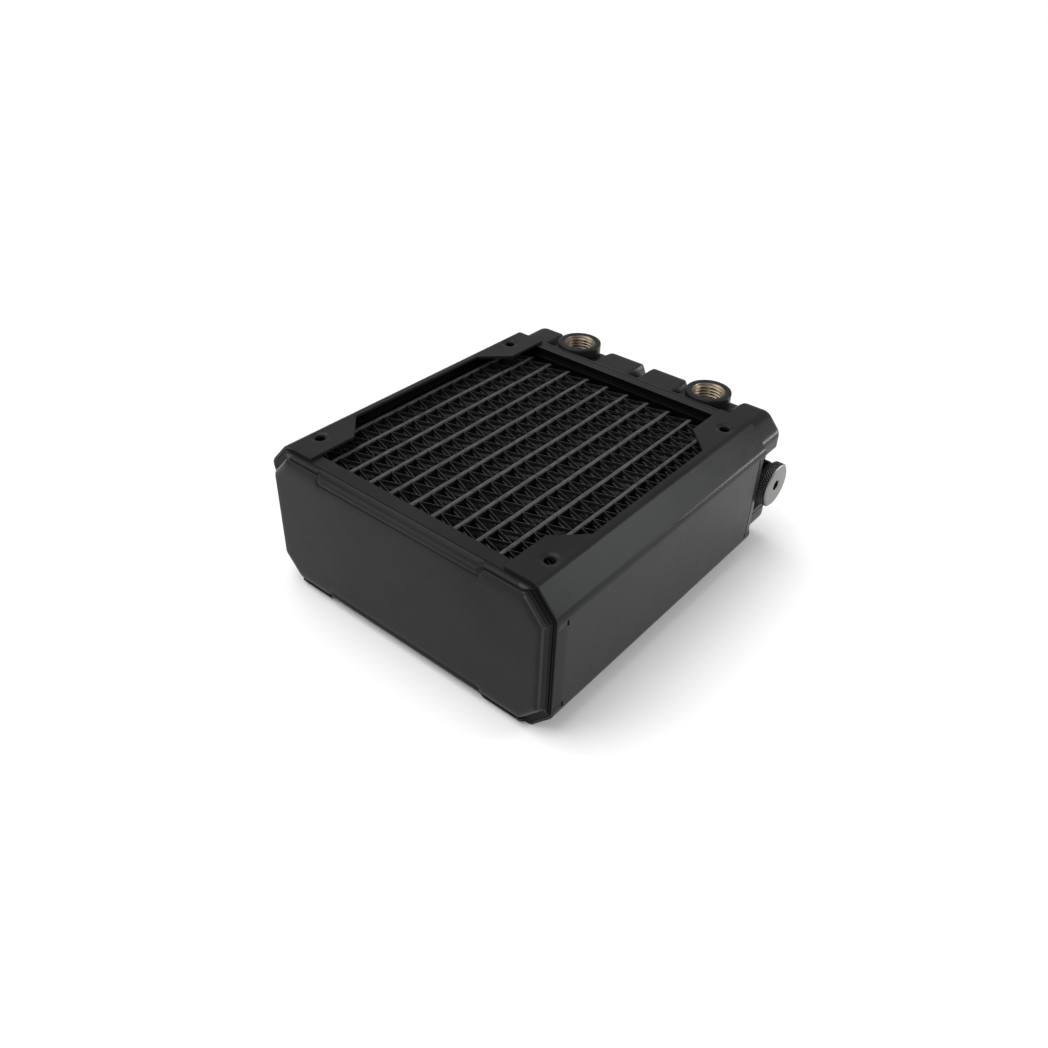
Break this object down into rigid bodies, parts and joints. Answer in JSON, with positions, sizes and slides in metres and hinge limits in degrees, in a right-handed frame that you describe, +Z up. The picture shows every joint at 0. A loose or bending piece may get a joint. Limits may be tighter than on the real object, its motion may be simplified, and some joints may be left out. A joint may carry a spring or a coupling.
{
  "type": "liquid cooling radiator",
  "caption": "Thick square radiator for a 120 mm fan: flat tubes and folded fins between pressed end tanks, bent side panels, two threaded ports on top and a screw vent plug on the side.",
  "frame": {"origin": "centre of the bottom of the whole part's bounding box", "axes": "+X across the tubes towards the vent plug, +Y along the tubes from the return tank to the port tank, +Z up, the way the ports face"},
  "size_m": [0.1342, 0.1526, 0.0604],
  "materials": {
    "powder_coat": "near-black satin powder coat with a fine grain",
    "core_paint": "thin black paint on folded sheet",
    "tube_paint": "dark grey painted tube edge, slightly worn",
    "brass": "machined brass with a painted outside",
    "plug_metal": "fine turned face, blackened knurled rim",
    "rubber": "matt black"
  },
  "bodies": {
    "radiator": {"side_panel_left": "powder_coat", "side_panel_right": "powder_coat", "header_plate_return": "powder_coat", "header_plate_port": "powder_coat", "return_tank": "powder_coat", "port_tank": "powder_coat", "tank_divider": "core_paint", "port_socket_left": "brass", "port_socket_right": "brass", "vent_socket": "brass", "flat_tube_upper_01": "tube_paint", "flat_tube_lower_01": "tube_paint", "flat_tube_upper_02": "tube_paint", "flat_tube_lower_02": "tube_paint", "flat_tube_upper_03": "tube_paint", "flat_tube_lower_03": "tube_paint", "flat_tube_upper_04": "tube_paint", "flat_tube_lower_04": "tube_paint", "flat_tube_upper_05": "tube_paint", "flat_tube_lower_05": "tube_paint", "flat_tube_upper_06": "tube_paint", "flat_tube_lower_06": "tube_paint", "flat_tube_upper_07": "tube_paint", "flat_tube_lower_07": "tube_paint", "flat_tube_upper_08": "tube_paint", "flat_tube_lower_08": "tube_paint", "flat_tube_upper_09": "tube_paint", "flat_tube_lower_09": "tube_paint", "flat_tube_upper_10": "tube_paint", "flat_tube_lower_10": "tube_paint", "flat_tube_upper_11": "tube_paint", "flat_tube_lower_11": "tube_paint", "flat_tube_upper_12": "tube_paint", "flat_tube_lower_12": "tube_paint", "fin_strip_01": "core_paint", "fin_strip_02": "core_paint", "fin_strip_03": "core_paint", "fin_strip_04": "core_paint", "fin_strip_05": "core_paint", "fin_strip_06": "core_paint", "fin_strip_07": "core_paint", "fin_strip_08": "core_paint", "fin_strip_09": "core_paint", "fin_strip_10": "core_paint", "fin_strip_11": "core_paint", "fin_strip_12": "core_paint", "fin_strip_13": "core_paint"},
    "plug_seal": {"vent_plug_oring": "rubber"},
    "vent_plug": {"vent_plug": "plug_metal"}
  },
  "joints": [
    {"name": "vent_plug_advance", "type": "slide", "parent": "radiator", "child": "plug_seal", "axis": [1, 0, 0], "range_m": [0, 0.0054]},
    {"name": "vent_plug_turn", "type": "hinge", "parent": "plug_seal", "child": "vent_plug", "pos_m": [0.0631, 0.06716, 0.0302], "axis": [1, 0, 0], "range_deg": [0, 1440]}
  ],
  "couplings": [
    {"joint": "vent_plug_advance", "follows": "vent_plug_turn", "m_per_rad": 0.00021279}
  ]
}
